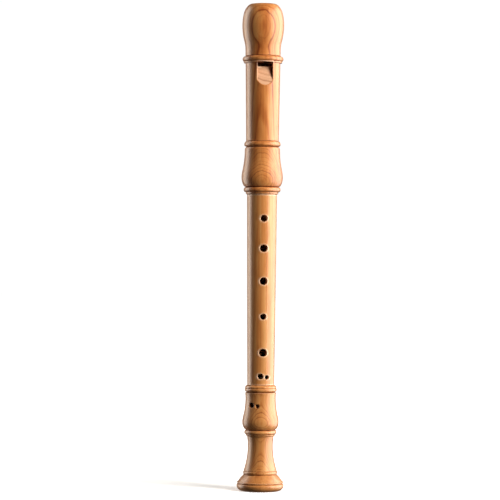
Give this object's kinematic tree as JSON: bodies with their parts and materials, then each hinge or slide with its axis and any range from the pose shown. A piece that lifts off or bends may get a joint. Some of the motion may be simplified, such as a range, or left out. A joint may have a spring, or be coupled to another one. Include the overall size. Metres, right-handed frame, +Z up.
{
  "type": "soprano recorder",
  "caption": "Turned wooden soprano recorder in three joints with a cedar block, cork-lapped tenons, beaded rings and a flared foot.",
  "frame": {"origin": "centre of the foot's end, on the surface that the recorder stands on", "axes": "+Z up the bore from the foot to the beak; -Y the side of the window and the finger holes; +X the player's left as the holes are seen from in front"},
  "size_m": [0.0314, 0.0314, 0.325],
  "materials": {
    "pearwood": "oiled and lightly lacquered orange-brown pearwood, satin",
    "cedar": "bare red cedar, matt",
    "cork": "greased sheet cork, matt"
  },
  "bodies": {
    "middle": {"middle_joint": "pearwood"},
    "upper_cork": {"upper_tenon_cork": "cork"},
    "head": {"head_joint": "pearwood"},
    "block": {"block": "cedar"},
    "lower_cork": {"lower_tenon_cork": "cork"},
    "foot": {"foot_joint": "pearwood"}
  },
  "joints": [
    {"name": "head_twist", "type": "hinge", "parent": "middle", "child": "upper_cork", "pos_m": [0, 0, 0.2083], "axis": [0, 0, 1], "continuous": true},
    {"name": "head_pull", "type": "slide", "parent": "upper_cork", "child": "head", "axis": [0, 0, 1], "range_m": [0, 0.022]},
    {"name": "block_push_out", "type": "slide", "parent": "head", "child": "block", "axis": [0, 0, 1], "range_m": [0, 0.04]},
    {"name": "foot_twist", "type": "hinge", "parent": "middle", "child": "lower_cork", "pos_m": [0, 0, 0.0655], "axis": [0, 0, 1], "continuous": true},
    {"name": "foot_pull", "type": "slide", "parent": "lower_cork", "child": "foot", "axis": [0, 0, -1], "range_m": [0, 0.012]}
  ]
}
